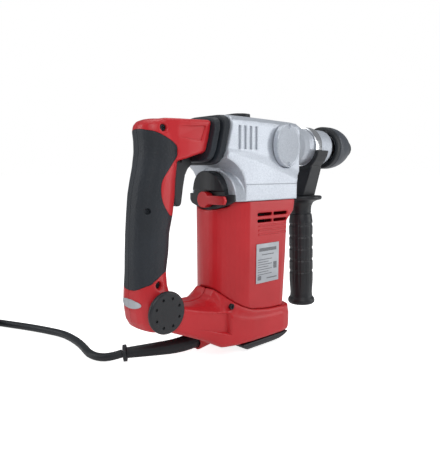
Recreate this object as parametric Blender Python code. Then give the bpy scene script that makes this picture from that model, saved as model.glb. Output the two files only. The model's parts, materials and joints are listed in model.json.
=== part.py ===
"""Rotary hammer with an upright motor, a sprung rear handle, a side handle and a mains cord.

Frame: +X along the drilling axis towards the tool, +Y to the left, +Z up. The origin is on the
base plane, under the motor axis. Sizes below are in millimetres; meshes are made in metres.
"""

import math

import bmesh
import bpy
from mathutils import Matrix
from mathutils import Vector

MM = 0.001
GAP = 0.3                    # clearance between pieces that touch
ROUND = 28                   # sides of a large turned piece
SMALL_ROUND = 12             # sides of a small turned piece

AXIS_Z = 242.0               # height of the drilling axis
SEAM_Z = 176.0               # joint between gearbox casting and motor column
COLUMN_HALF = 40.5           # half the width of the motor column
COLUMN_SIDE_REAR = -24.0     # where the flat side meets the curved back
COLUMN_REAR = -55.0
COLUMN_FRONT = 50.0
WALL = 3.0

PIVOT = (-133.0, 68.0)       # x and z of the handle's lower pivot
PIVOT_R = 22.0
CHEEK_OUT = 26.0             # half the width across the handle's cheeks
HUB_HALF = 13.8              # half the width of the foot's hub between the cheeks
HUB_R = 19.0

SELECTOR_Z = 177.5           # height of the mode lever's axis
HOOD_FRONT = -43.6           # where the selector hood sits against the housing
CAP_CENTRE = (39.4, 239.8)   # x and z of the round side cap
CAP_TURN = math.radians(7.5) # the cap faces a little forwards, with the tapered side of the casting

AUX_X = 116.6                # station of the side handle along the barrel
AUX_TILT = math.radians(-1.7)
NECK_R = 24.0
NECK_END = 157.0

HANDLE_SCREWS = ((-126.5, 252.3), (-136.0, 94.6))
HANDLE_SCREW_SEAT = 15.0
FOOT_SCREW = (-48.0, 59.5)
FOOT_SCREW_SEAT = 34.0

CORD_R = 4.5
COIL_CENTRE = (-268.5, 271.7)
COIL_MID_R = 49.5

PINION_TEETH = 8
WHEEL_TEETH = 20
GEAR_MODULE = 1.25
GEAR_LOW = 204.0
GEAR_HIGH = 212.0
WHEEL_X = GEAR_MODULE * (PINION_TEETH + WHEEL_TEETH) / 2
TIP = 0.62                   # tooth height above the pitch circle
ROOT = 0.95                  # tooth depth below it
CONE_NEAR = 16.0             # inner and outer ends of the bevel teeth, from the cones' apex
CONE_FAR = 20.0
BEVEL_PINION_TEETH = 10
BEVEL_WHEEL_TEETH = 24
CRANK_THROW = 8.4

COLOURS = {
    "red plastic": ((0.52, 0.025, 0.03), 0.42, 0.0),
    "black rubber": ((0.02, 0.026, 0.034), 0.7, 0.0),
    "black plastic": ((0.018, 0.02, 0.024), 0.45, 0.0),
    "silver casting": ((0.66, 0.69, 0.73), 0.38, 0.6),
    "bright steel": ((0.75, 0.77, 0.8), 0.15, 1.0),
    "steel": ((0.45, 0.46, 0.48), 0.35, 1.0),
    "grey sleeve": ((0.07, 0.08, 0.1), 0.4, 0.0),
    "copper": ((0.6, 0.28, 0.14), 0.35, 1.0),
    "brass": ((0.62, 0.47, 0.2), 0.3, 1.0),
    "carbon": ((0.03, 0.03, 0.03), 0.6, 0.0),
    "label": ((0.7, 0.71, 0.73), 0.4, 0.2),
}


# ---------------------------------------------------------------- small tools

def clear_scene():
    for old in list(bpy.data.objects):
        bpy.data.objects.remove(old, do_unlink=True)


def material(name):
    """The Principled material of that name, made the first time it is asked for."""
    found = bpy.data.materials.get(name)
    if found:
        return found
    colour, roughness, metallic = COLOURS[name]
    made = bpy.data.materials.new(name)
    made.use_nodes = True
    shader = made.node_tree.nodes["Principled BSDF"]
    shader.inputs["Base Color"].default_value = (*colour, 1.0)
    shader.inputs["Roughness"].default_value = roughness
    shader.inputs["Metallic"].default_value = metallic
    return made


def add_object(name, bm, look):
    """Turns a bmesh in millimetres into a closed object in metres, faces out."""
    bmesh.ops.recalc_face_normals(bm, faces=bm.faces)
    bmesh.ops.scale(bm, vec=(MM, MM, MM), verts=bm.verts)
    mesh = bpy.data.meshes.new(name)
    bm.to_mesh(mesh)
    bm.free()
    mesh.materials.append(material(look))
    made = bpy.data.objects.new(name, mesh)
    bpy.context.collection.objects.link(made)
    return made


def loft(name, rings, look, straight=False):
    """Skins rings of equal length and closes the ends. Twisted faces are split into triangles."""
    bm = bmesh.new()
    rows = [[bm.verts.new(point) for point in ring] for ring in rings]
    count = len(rings[0])
    for low, high in zip(rows[:-1], rows[1:], strict=True):
        for i in range(count):
            j = (i + 1) % count
            bm.faces.new((low[i], low[j], high[j], high[i]))
    bm.faces.new(rows[0])
    bm.faces.new(rows[-1])
    if not straight:
        bmesh.ops.triangulate(bm, faces=bm.faces)
    return add_object(name, bm, look)


def prism(name, outline, axis, low, high, look):
    """Extrudes an outline. The outline's two numbers are the other two axes in X, Y, Z order."""
    def place(a, b, c):
        return {"x": (c, a, b), "y": (a, c, b), "z": (a, b, c)}[axis]
    return loft(name, [[place(a, b, c) for a, b in outline] for c in (low, high)], look, straight=True)


def box(name, low, high, look):
    outline = [(low[0], low[1]), (high[0], low[1]), (high[0], high[1]), (low[0], high[1])]
    return prism(name, outline, "z", low[2], high[2], look)


def turned(name, profile, look, axis="x", centre=(0.0, 0.0), sides=ROUND, hollow=False):
    """Turns (along, radius) points about an axis; hollow joins the profile's two ends."""
    bm = bmesh.new()
    rows = []
    for along, radius in profile:
        if radius < 1e-6:
            rows.append([bm.verts.new(axis_point(axis, centre, along, 0.0, 0.0))])
            continue
        row = []
        for i in range(sides):
            turn = 2 * math.pi * i / sides
            row.append(bm.verts.new(axis_point(axis, centre, along, radius, turn)))
        rows.append(row)
    pairs = list(zip(rows[:-1], rows[1:], strict=True))
    if hollow:
        pairs.append((rows[-1], rows[0]))
    for low, high in pairs:
        if len(low) == 1 and len(high) == 1:
            continue
        for i in range(sides):
            j = (i + 1) % sides
            corners = [low[i % len(low)], low[j % len(low)], high[j % len(high)], high[i % len(high)]]
            bm.faces.new(list(dict.fromkeys(corners)))
    if not hollow:
        for row in (rows[0], rows[-1]):
            if len(row) > 1:
                bm.faces.new(row)
    return add_object(name, bm, look)


def axis_point(axis, centre, along, radius, turn):
    a = centre[0] + radius * math.cos(turn)
    b = centre[1] + radius * math.sin(turn)
    return {"x": (along, a, b), "y": (a, along, b), "z": (a, b, along)}[axis]


def ring(name, inner, outer, low, high, look, axis="z", centre=(0.0, 0.0), sides=ROUND):
    profile = [(low, inner), (low, outer), (high, outer), (high, inner)]
    return turned(name, profile, look, axis, centre, sides, hollow=True)


def cylinder(name, radius, low, high, look, axis="z", centre=(0.0, 0.0), sides=ROUND):
    return turned(name, [(low, radius), (high, radius)], look, axis, centre, sides)


def combine(target, tool, operation):
    """Applies a Boolean of two closed objects and removes the tool."""
    step = target.modifiers.new("combine", "BOOLEAN")
    step.object = tool
    step.operation = operation
    step.solver = "EXACT"
    graph = bpy.context.evaluated_depsgraph_get()
    result = bpy.data.meshes.new_from_object(target.evaluated_get(graph))
    target.modifiers.clear()
    result.materials.clear()
    result.materials.append(target.data.materials[0])
    for face in result.polygons:
        face.material_index = 0
    target.data = result
    bpy.data.objects.remove(tool, do_unlink=True)
    return target


def join(target, *tools):
    for tool in tools:
        combine(target, tool, "UNION")
    return target


def cut(target, *tools):
    for tool in tools:
        combine(target, tool, "DIFFERENCE")
    return target


def common(target, tool):
    return combine(target, tool, "INTERSECT")


def copy_of(source, name):
    made = source.copy()
    made.data = source.data.copy()
    made.name = name
    bpy.context.collection.objects.link(made)
    return made


def soften(target, width, segments=2, angle=40.0):
    """Rounds the edges sharper than an angle."""
    step = target.modifiers.new("soften", "BEVEL")
    step.width = width * MM
    step.segments = segments
    step.limit_method = "ANGLE"
    step.angle_limit = math.radians(angle)
    graph = bpy.context.evaluated_depsgraph_get()
    result = bpy.data.meshes.new_from_object(target.evaluated_get(graph))
    target.modifiers.clear()
    target.data = result
    return target


def move_mesh(target, matrix):
    """Moves an object's mesh by a matrix whose shift is in millimetres."""
    moved = matrix.copy()
    moved.translation = matrix.translation * MM
    target.data.transform(moved)
    return target


def turn_about(point, angle, axis):
    shift = Matrix.Translation(Vector(point))
    return shift @ Matrix.Rotation(angle, 4, axis) @ shift.inverted()


def set_origin(target, point):
    """Puts an object's origin on its joint axis without moving its surface."""
    place = Vector(point) * MM
    target.data.transform(Matrix.Translation(-place))
    target.location = place
    return target


def arc(centre, radius, start, end, steps):
    """Points of an arc between two angles in degrees, both ends included."""
    points = []
    for i in range(steps + 1):
        turn = math.radians(start + (end - start) * i / steps)
        points.append((centre[0] + radius * math.cos(turn), centre[1] + radius * math.sin(turn)))
    return points


def smooth_path(points, step):
    """Even points along a Catmull-Rom curve through the given points."""
    path = [Vector(p) for p in points]
    path = [2 * path[0] - path[1], *path, 2 * path[-1] - path[-2]]
    fine = []
    pieces = 24
    for a, b, c, d in zip(path[:-3], path[1:-2], path[2:-1], path[3:], strict=True):
        for i in range(pieces):
            t = i / pieces
            fine.append(0.5 * (2 * b + (c - a) * t + (2 * a - 5 * b + 4 * c - d) * t * t
                               + (3 * b - 3 * c + d - a) * t ** 3))
    fine.append(path[-2])
    lengths = [0.0]
    for a, b in zip(fine[:-1], fine[1:], strict=True):
        lengths.append(lengths[-1] + (b - a).length)
    count = max(2, round(lengths[-1] / step))
    even = []
    at = 0
    for i in range(count + 1):
        want = lengths[-1] * i / count
        while at < len(lengths) - 2 and lengths[at + 1] < want:
            at += 1
        share = (want - lengths[at]) / max(lengths[at + 1] - lengths[at], 1e-9)
        even.append(fine[at].lerp(fine[at + 1], min(max(share, 0.0), 1.0)))
    return even


def pipe(name, points, radius, look, detail=2):
    """A round tube along points: a poly curve with a bevel and filled caps."""
    curve = bpy.data.curves.new(name, "CURVE")
    curve.dimensions = "3D"
    curve.bevel_depth = radius * MM
    curve.bevel_resolution = detail
    curve.use_fill_caps = True
    spline = curve.splines.new("POLY")
    spline.points.add(len(points) - 1)
    for knot, point in zip(spline.points, points, strict=True):
        knot.co = (*(Vector(point) * MM), 1.0)
    curve.materials.append(material(look))
    made = bpy.data.objects.new(name, curve)
    bpy.context.collection.objects.link(made)
    return made


def halves(blank, right_name, left_name):
    """Splits a blank at the middle plane into a right and a left shell."""
    reach = 400.0
    left = copy_of(blank, left_name)
    blank.name = right_name
    cut(blank, box("side", (-reach, -GAP / 2, -reach), (reach, reach, reach), "steel"))
    cut(left, box("side", (-reach, -reach, -reach), (reach, GAP / 2, reach), "steel"))
    return blank, left


# ---------------------------------------------------------------- column, gearbox and foot

def column_outline(half, rear, front, corner):
    """Plan of the motor column: curved back, flat sides, rounded front corners."""
    sagitta = COLUMN_SIDE_REAR - rear
    radius = (half * half + sagitta * sagitta) / (2 * sagitta)
    centre = rear + radius
    open_angle = math.degrees(math.asin(half / radius))
    back = arc((centre, 0.0), radius, 180 - open_angle, 180 + open_angle, 20)
    right = arc((front - corner, corner - half), corner, 270, 360, 4)
    left = arc((front - corner, half - corner), corner, 0, 90, 4)
    return back + right + left


def column_loft(name, inset, low, high, look):
    """The tapered column between two heights, its surface moved in by inset."""
    rings = []
    for z in (low, 50.0, 110.0, 150.0, 162.0, high):
        share = (z - 50.0) / (SEAM_Z - 50.0)
        half = 39.2 + 1.3 * share - inset
        flare = max(0.0, min(1.0, (z - 150.0) / 14.0))
        front = 45.5 + 4.5 * min(1.0, (z - 50.0) / 80.0) + 8.0 * flare - inset
        outline = column_outline(half, COLUMN_REAR + inset, front, 15.0 - 10.0 * flare - inset / 2)
        rings.append([(x, y, z) for x, y in outline])
    return loft(name, rings, look)


def foot_seam(x):
    """Height of the joint between column and foot: level in front, rising at the back."""
    return 45.6 + 33.0 * math.exp(-(x - COLUMN_REAR) / 22.0)


def seam_cutter(name, shift, up):
    """Everything below the seam, or above it, as one wide prism."""
    rear = COLUMN_REAR - 1.0
    stations = [-70.0] + [station[0] for station in FOOT_STATIONS if station[0] > rear] + [70.0]
    line = [(x, foot_seam(max(x, rear)) + shift) for x in stations]
    limit = 220.0 if up else -20.0
    return prism(name, line + [(70.0, limit), (-70.0, limit)], "y", -80.0, 80.0, "steel")


def hood_outline(grow):
    """Back view of the selector hood: a dome over a wide lens-shaped band."""
    radius = 26.3 + grow
    dome = arc((0.0, 183.6), radius, 0, 180, 14)
    tab = 37.5 + grow
    band = [(-tab, 183.6 + grow), (-tab, 176.0 - grow)]
    sagitta = 10.0
    low_r = (tab * tab + sagitta * sagitta) / (2 * sagitta)
    low_z = 166.0 - grow + low_r
    half_angle = math.degrees(math.asin(tab / low_r))
    low = arc((0.0, low_z), low_r, 270 - half_angle + 2, 270 + half_angle - 2, 10)
    return dome + band + low + [(tab, 176.0 - grow), (tab, 183.6 + grow)]


def make_motor_housing():
    body = column_loft("motor_housing", 0.0, 40.0, SEAM_Z - GAP, "red plastic")
    cut(body, column_loft("room", WALL, 30.0, SEAM_Z + 5, "steel"))
    cut(body, seam_cutter("below", 0.0, False))
    cut(body, prism("notch", hood_outline(GAP), "x", -80.0, HOOD_FRONT + GAP, "steel"))
    for z in (160.0, 152.5):
        for x in (-11.0, 16.5):
            cut(body, box("slot", (x, -60.0, z - 1.7), (x + 25.0, 60.0, z + 1.7), "steel"))
    for z in (147.0, 142.0, 137.0):
        for side in (-1, 1):
            rib = box("rib", (-11.0, side * 39.0 - 1.0, z - 1.1), (41.0, side * 39.0 + 1.6, z + 1.1),
                      "steel")
            join(body, rib)
    return body


def lean(z):
    """How far the joint between handle arm, bellows and casting runs back below the top."""
    return -8.7 * (min(max(264.0 - z, 0.0), 44.0) / 36.0) ** 1.35


def casting_side():
    """Side view of the gearbox casting, with the concave back above the selector."""
    rear = [(-49.7 + lean(z), z) for z in (266.0, 255.0, 244.0, 233.0, 223.0)]
    scoop = [(-52.0, 219.6), (-44.5, 214.8), (-38.0, 208.6), (-34.0, 201.5), (-31.8, 194.0)]
    front = [(59.0, 196.0), (61.0, 203.0), (66.0, 209.0), (66.0, 270.5)]
    return [(-31.4, SEAM_Z), (59.0, SEAM_Z), *front, (-42.0, 273.5), *rear, *scoop]


def casting_envelope():
    """Front view of the casting along X: narrow top, sloped ledge, wide waist."""
    rings = []
    for x, upper, lower in ((-60.0, 235.0, 229.0), (-20.0, 231.0, 222.0), (15.0, 224.5, 212.0),
                            (50.0, 214.0, 202.0), (80.0, 205.0, 196.0)):
        top = 271.8 - 0.02 * max(0.0, x)
        half = [(10.0, top), (24.0, top - 1.3), (32.0, top - 3.4), (37.0, top - 7.0), (38.5, top - 12.0),
                (38.5, upper), (41.0, lower), (41.0, 160.0)]
        ring_points = [(x, y, z) for y, z in half]
        rings.append(ring_points + [(x, -y, z) for y, z in reversed(half)])
    return loft("envelope", rings, "steel")


def nose_ring(x, half, low, high, power, count=32):
    """A squared oval across the drilling axis."""
    points = []
    for i in range(count):
        turn = 2 * math.pi * (i + 0.5) / count
        c, s = math.cos(turn), math.sin(turn)
        y = half * math.copysign(abs(c) ** (2 / power), c)
        z = (low + high) / 2 + (high - low) / 2 * math.copysign(abs(s) ** (2 / power), s)
        points.append((x, y, z))
    return points


def make_gearbox():
    body = prism("gearbox_housing", casting_side(), "y", -60.0, 60.0, "silver casting")
    common(body, casting_envelope())
    nose = loft("nose", [nose_ring(55.0, 37.5, 205.0, 267.0, 5.0), nose_ring(68.0, 36.5, 208.5, 267.5, 4.2),
                         nose_ring(80.0, 32.0, 213.5, 268.5, 2.6), nose_ring(90.0, 28.0, 215.0, 269.0, 2.1),
                         nose_ring(103.0, 26.5, 215.5, 268.5, 2.0)], "steel")
    neck = cylinder("neck", NECK_R, 95.0, NECK_END, "steel", "x", (0.0, AXIS_Z), 40)
    boss = turned("boss", [(HOOD_FRONT + GAP, 0.0), (HOOD_FRONT + GAP, 37.6), (-41.0, 38.6), (-33.0, 40.8),
                           (-20.0, 40.8), (-20.0, 0.0)], "steel", "x", (0.0, SEAM_Z), 40)
    common(boss, box("upper half", (-80.0, -60.0, SEAM_Z), (0.0, 60.0, 240.0), "steel"))
    join(body, nose, neck, boss)
    cut(body, prism("hood room", hood_outline(GAP), "x", -80.0, HOOD_FRONT + GAP, "steel"))
    cut(body, box("low room", (-27.0, -34.0, 150.0), (54.0, 34.0, 203.0), "steel"),
        box("mid room", (-31.3, -34.0, 202.0), (56.0, 34.0, 224.0), "steel"),
        box("high room", (-43.0, -33.0, 223.0), (62.0, 33.0, 261.0), "steel"),
        cylinder("bore", 17.2, 50.0, NECK_END + 5, "steel", "x", (0.0, AXIS_Z)))
    for side in (-1, 1):
        for i in range(4):
            x = -40.5 + 8.8 * i
            low_y, high_y = sorted((side * 37.0, side * 45.0))
            cut(body, box("slot", (x, low_y, 233.5), (x + 2.8, high_y, 258.5), "steel"))
    seat = cylinder("cap seat", 26.3, -60.0, -36.8, "steel", "y", CAP_CENTRE, ROUND)
    cut(body, move_mesh(seat, cap_turn()),
        move_mesh(cylinder("cap window", 21.0, -60.0, -28.0, "steel", "y", CAP_CENTRE, ROUND), cap_turn()))
    return body


def cap_turn():
    return turn_about((CAP_CENTRE[0], -40.0, CAP_CENTRE[1]), CAP_TURN, "Z")


def make_side_cap():
    rim = 25.6
    profile = [(-37.1, 20.7), (-37.1, rim), (-42.7, rim), (-43.8, rim - 1.1), (-43.8, rim - 2.0),
               (-43.2, rim - 2.6), (-43.2, 0.0)]
    cap = turned("gearbox_side_cap", [(-37.1, 0.0), *profile], "silver casting", "y", CAP_CENTRE, ROUND)
    plug = cylinder("plug", 20.7, -40.0, -32.0, "steel", "y", CAP_CENTRE, ROUND)
    join(cap, plug)
    for z in (239.8 + 22.0, 239.8 - 22.0):
        cut(cap, box("key slot", (37.2, -50.0, z - 2.4), (41.6, -41.6, z + 2.4), "steel"))
    move_mesh(cap, cap_turn())


FOOT_STATIONS = (
    # x, half width, bottom, ridge, top, half width of the top
    (-128.0, 26.0, 46.0, 68.0, 72.0, 14.0),
    (-118.0, 27.0, 41.0, 69.0, 71.0, 15.0),
    (-106.0, 28.5, 36.0, 66.0, 68.0, 16.0),
    (-92.0, 30.5, 30.0, 62.0, 65.5, 16.0),
    (-78.0, 33.0, 24.0, 58.5, 64.0, 15.0),
    (-66.0, 35.5, 17.0, 55.0, 65.5, 14.5),
    (-60.0, 37.0, 14.0, 53.0, 69.0, 14.5),
    (-55.5, 38.0, 13.5, 51.5, 76.5, 15.0),
    (-48.0, 39.2, 13.0, 50.0, 73.2, 24.5),
    (-40.0, 40.5, 12.6, 48.0, 65.5, 32.6),
    (-30.0, 41.5, 12.6, 45.5, 58.8, 37.8),
    (-18.0, 42.5, 12.6, 43.0, 54.0, 40.5),
    (8.0, 43.0, 12.6, 41.0, 49.0, 41.0),
    (34.0, 43.0, 12.6, 40.0, 47.2, 41.0),
    (44.0, 41.5, 12.8, 39.5, 46.8, 39.0),
    (51.0, 37.0, 13.5, 39.0, 46.4, 34.0),
    (54.5, 28.0, 15.5, 38.0, 46.0, 26.0),
)


def foot_ring(station):
    x, half, low, ridge, top, top_half = station
    edge = min(5.0, half / 4)
    top = min(top, foot_seam(x) - GAP) if x > COLUMN_REAR - 1.0 else top
    side = [(half - edge, low), (half - edge * 0.3, low + edge * 0.35), (half, low + edge),
            (half, ridge - 3.0), (half - 1.2, ridge), ((half + top_half) / 2, (ridge + top) / 2 + 1.0),
            (top_half, top)]
    return [(x, y, z) for y, z in side] + [(x, -y, z) for y, z in reversed(side)]


def cord_gland_cylinder(name, radius, low, high):
    """A cylinder along the cord's exit, measured back from the exit face."""
    made = cylinder(name, radius, low, high, "steel", "x", (0.0, 0.0), 24)
    return move_mesh(made, exit_matrix())


GLAND = (-73.0, 0.0, 18.6)
GLAND_PITCH = math.radians(-8.0)


def exit_matrix():
    return Matrix.Translation(Vector(GLAND)) @ Matrix.Rotation(GLAND_PITCH, 4, "Y")


def foot_recess(side):
    """The wedge-shaped recess in the foot's flank, deepest at its front end."""
    floor = [(-104.0, side * 29.6, 61.0), (-52.5, side * 33.6, 51.5), (-52.5, side * 33.6, 31.0),
             (-104.0, side * 29.6, 44.0)]
    mouth = [(-112.0, side * 44.0, 68.0), (-48.5, side * 44.0, 55.5), (-48.5, side * 44.0, 24.0),
             (-112.0, side * 44.0, 37.0)]
    return loft("recess", [floor, mouth], "steel")


def make_foot():
    blank = loft("foot", [foot_ring(station) for station in FOOT_STATIONS], "red plastic")
    for low, high in ((HUB_HALF, 60.0), (-60.0, -HUB_HALF)):
        cut(blank, cylinder("cheek room", PIVOT_R + 0.6, low, high, "steel", "y", PIVOT, 40))
    join(blank, cylinder("hub", HUB_R, -HUB_HALF, HUB_HALF, "steel", "y", PIVOT, 40),
         cord_gland_cylinder("collar", 12.8, 0.0, 28.0))
    for side in (-1, 1):
        cut(blank, foot_recess(side))
    inside = column_outline(35.0, -44.0, 41.0, 12.0)
    cut(blank, prism("room", inside, "z", 17.0, 120.0, "steel"),
        cylinder("pin hole", 5.3, -60.0, 60.0, "steel", "y", PIVOT, SMALL_ROUND),
        cord_gland_cylinder("cord hole", 9.8, -10.0, 22.0),
        cord_gland_cylinder("cord way", CORD_R + GAP, 15.0, 40.0))
    cut(blank, cylinder("screw hole", 3.8, -60.0, -FOOT_SCREW_SEAT, "steel", "y", FOOT_SCREW, SMALL_ROUND))
    return halves(blank, "foot_shell_right", "foot_shell_left")


def make_base_cap():
    outline = [(-34.0, 12.0), (-33.0, 9.5), (-26.0, 5.0), (-19.0, 1.5), (-14.0, 0.0), (14.0, 0.0),
               (26.0, 2.6), (38.0, 6.9), (45.0, 10.6), (46.5, 12.0)]
    cap = prism("base_cap", outline, "y", -42.0, 42.0, "black plastic")
    hull = [(14.0, 0.0), (27.0, 0.7), (34.5, 2.4), (38.5, 5.2), (40.0, 8.4), (40.2, 12.0)]
    section = [(-y, z) for y, z in reversed(hull)] + hull
    common(cap, prism("hull", section + [(44.0, 20.0), (-44.0, 20.0)], "x", -50.0, 60.0, "steel"))


# ---------------------------------------------------------------- rear handle

GRIP_STATIONS = (
    # z, rear, front, half width
    (46.3, -144.0, -129.0, 21.0),
    (49.0, -150.5, -123.0, 24.0),
    (57.0, -155.5, -114.6, 25.8),
    (68.0, -157.5, -111.3, CHEEK_OUT),
    (80.0, -158.0, -114.8, 25.5),
    (92.0, -158.2, -117.5, 22.5),
    (106.0, -158.0, -117.5, 20.0),
    (126.0, -157.5, -114.0, 20.0),
    (146.0, -156.5, -112.5, 20.0),
    (166.0, -155.0, -107.5, 20.3),
    (186.0, -152.8, -105.0, 20.8),
    (200.0, -149.6, -104.5, 21.1),
    (213.0, -146.2, -103.0, 21.4),
    (228.0, -143.8, -101.0, 21.6),
    (240.0, -144.0, -100.0, 21.5),
    (249.0, -145.6, -100.0, 21.0),
    (255.0, -144.6, -101.0, 19.8),
    (259.0, -141.0, -104.0, 17.8),
    (261.6, -134.0, -110.0, 13.0),
)

ARM_STATIONS = (
    # x, low, high, half width
    (-136.0, 214.0, 257.0, 16.0),
    (-124.0, 216.0, 262.2, 20.3),
    (-110.0, 219.5, 262.6, 23.0),
    (-96.0, 222.0, 262.8, 24.0),
    (-82.0, 225.5, 263.2, 24.3),
    (-67.0, 228.5, 263.6, 24.3),
)


def grip_loft(name, inset, look="steel"):
    """The upright grip as squared ovals stacked along Z, its surface moved in by inset."""
    count = 20
    rings = []
    for z, rear, front, half in GRIP_STATIONS:
        middle, reach = (rear + front) / 2, (front - rear) / 2 - inset
        wide = half - inset
        points = []
        for i in range(count):
            turn = 2 * math.pi * i / count
            c, s = math.cos(turn), math.sin(turn)
            points.append((middle + reach * math.copysign(abs(c) ** 0.8, c),
                           wide * math.copysign(abs(s) ** 0.8, s), z))
        rings.append(points)
    low, high = GRIP_STATIONS[0][0] + inset, GRIP_STATIONS[-1][0] - inset
    rings = [[(x, y, min(max(z, low + 0.01 * i), high - 0.01 * (len(rings) - i))) for x, y, z in ring_]
             for i, ring_ in enumerate(rings)]
    return loft(name, rings, look)


def arm_loft(name):
    """The upper arm as chamfered rectangles along X, its front end leaning back."""
    rings = []
    for x, low, high, half in ARM_STATIONS:
        share = max(0.0, (x + 110.0) / 43.0)
        side = [(half - 3.0, low), (half, low + 2.5), (half, (low + high) / 2), (half, high - 2.5),
                (half - 2.5, high)]
        section = [(y, z) for y, z in side] + [(-y, z) for y, z in reversed(side)]
        rings.append([(x + share * lean(z), y, z) for y, z in section])
    return loft(name, rings, "steel")


RUBBER_REGION = (
    (-175.0, 97.0), (-150.0, 95.5), (-138.0, 101.0), (-126.0, 106.5), (-100.0, 112.0), (-100.0, 163.0),
    (-117.0, 164.0), (-124.5, 171.0), (-129.5, 180.0), (-131.0, 191.0), (-128.8, 201.0),
    (-120.5, 212.0), (-113.0, 221.5), (-110.7, 229.5), (-113.5, 236.5), (-124.0, 243.0),
    (-142.0, 249.5), (-175.0, 251.0),
)


def grown(outline, by):
    """An outline moved outwards by a distance, corner by corner."""
    area = sum(a[0] * b[1] - b[0] * a[1]
               for a, b in zip(outline, outline[1:] + outline[:1], strict=True))
    sign = 1.0 if area > 0 else -1.0
    points = []
    for i, point in enumerate(outline):
        before, after = Vector(outline[i - 1]), Vector(outline[(i + 1) % len(outline)])
        here = Vector(point)
        first, second = (here - before).normalized(), (after - here).normalized()
        normal = Vector((first.y + second.y, -first.x - second.x)).normalized() * sign
        share = max(0.5, normal.dot(Vector((first.y, -first.x)) * sign))
        points.append(tuple(here + normal * by / share))
    return points


def make_handle():
    seat, skin = 2.3, 2.0
    blank = grip_loft("handle", 0.0, "red plastic")
    join(blank, arm_loft("arm"))
    region = prism("region", grown(list(RUBBER_REGION), GAP), "y", -60.0, 60.0, "steel")
    cut(region, grip_loft("core", seat))
    cut(blank, region)
    room = common(grip_loft("room", 6.0), box("part", (-200.0, -60.0, 100.0), (0.0, 60.0, 243.0), "steel"))
    cut(blank, room)
    room_r = HUB_R + 0.6
    slot = arc(PIVOT, room_r, 90, 250, 12) + [(-100.0, 30.0), (-100.0, PIVOT[1] + room_r)]
    cut(blank, prism("hub room", slot, "y", -HUB_HALF - GAP, HUB_HALF + GAP, "steel"))
    cut(blank, cylinder("pin hole", 5.3, -60.0, 60.0, "steel", "y", PIVOT, SMALL_ROUND))
    cut(blank, box("trigger room", (-126.0, -8.6, 168.0), (-70.0, 8.6, 229.0), "steel"))
    cut(blank, cylinder("trunnion seat", 2.0, -11.4, 11.4, "steel", "y", (-96.0, 220.0), 12))
    cut(blank, box("spring room", (-98.0, -12.0, 231.0), (-60.0, 12.0, 255.0), "steel"))
    for centre in HANDLE_SCREWS:
        cut(blank, cylinder("screw hole", 3.8, -60.0, -HANDLE_SCREW_SEAT, "steel", "y", centre,
                            SMALL_ROUND))
    for side in (-1, 1):
        low_y, high_y = sorted((side * 22.8, side * 60.0))
        panel = prism("panel", [(-120.0, 254.5), (-74.6, 256.8), (-81.0, 240.7), (-112.0, 243.8)], "y",
                      low_y, high_y, "steel")
        cut(blank, panel)
    rubber = common(prism("rubber", list(RUBBER_REGION), "y", -60.0, 60.0, "black rubber"),
                    grip_loft("skin", 0.0))
    cut(rubber, grip_loft("core", skin))
    cut(rubber, box("trigger room", (-126.0, -8.6, 164.5), (-70.0, 8.6, 229.0), "steel"))
    shells = halves(blank, "handle_shell_right", "handle_shell_left")
    skins = halves(rubber, "grip_rubber_right", "grip_rubber_left")
    badge = common(grip_loft("handle_badge", -0.6, "label"), badge_prism())
    cut(badge, grip_loft("core", -GAP / 2))
    pivot = (PIVOT[0], 0.0, PIVOT[1])
    for piece in (*shells, *skins, badge):
        set_origin(piece, pivot)


def badge_prism():
    outline = [(17.0 * math.cos(2 * math.pi * i / 20), 76.5 + 4.8 * math.sin(2 * math.pi * i / 20))
               for i in range(20)]
    return prism("badge prism", outline, "x", -170.0, -140.0, "steel")


def make_trigger():
    outline = [(-84.0, 226.0), (-79.5, 217.0), (-86.0, 211.5), (-89.5, 205.0), (-92.3, 192.0),
               (-95.0, 175.0), (-97.0, 172.0), (-101.0, 172.0), (-105.0, 176.0), (-106.0, 186.0),
               (-104.0, 210.0), (-103.0, 226.0)]
    trigger = prism("trigger", outline, "y", -7.8, 7.8, "black plastic")
    soften(trigger, 1.6, 2, 50.0)
    join(trigger, cylinder("trunnions", 1.6, -11.0, 11.0, "steel", "y", (-96.0, 220.0), 12))
    set_origin(trigger, (-96.0, 0.0, 220.0))
    switch = box("trigger_switch", (-125.0, -8.0, 176.0), (-114.5, 8.0, 214.0), "black plastic")
    button = box("button", (-115.0, -3.0, 180.0), (-110.5, 3.0, 186.0), "steel")
    join(switch, button)


def make_bellows():
    stations = ((-66.7, 24.0, 225.0, 262.5), (-66.4, 29.5, 220.5, 265.5), (-65.6, 31.0, 219.0, 266.5),
                (-60.6, 32.5, 218.0, 268.0), (-59.8, 31.5, 219.0, 267.0), (-59.1, 28.5, 222.0, 264.5),
                (-58.1, 28.5, 222.0, 264.5), (-57.4, 33.5, 217.5, 268.5), (-56.6, 35.5, 216.0, 269.8),
                (-51.4, 37.0, 215.5, 270.6), (-50.0, 36.0, 217.0, 270.0))
    rings = [[(x + lean(z), y, z) for x, y, z in nose_ring(x, half, low, high, 5.0, 20)]
             for x, half, low, high in stations]
    gaiter = loft("handle_bellows", rings, "black rubber")
    return cut(gaiter, cylinder("bore", 15.0, -80.0, -40.0, "steel", "x", (0.0, 243.0), 24))


def make_damping_spring():
    turns, per_turn = 4, 9
    low, high = -94.0, -58.2
    points = []
    for i in range(turns * per_turn + 1):
        turn = 2 * math.pi * i / per_turn
        x = low + (high - low) * i / (turns * per_turn)
        points.append((x, 8.0 * math.cos(turn), 243.0 + 8.0 * math.sin(turn)))
    return pipe("damping_spring", points, 1.1, "steel", 1)


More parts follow.
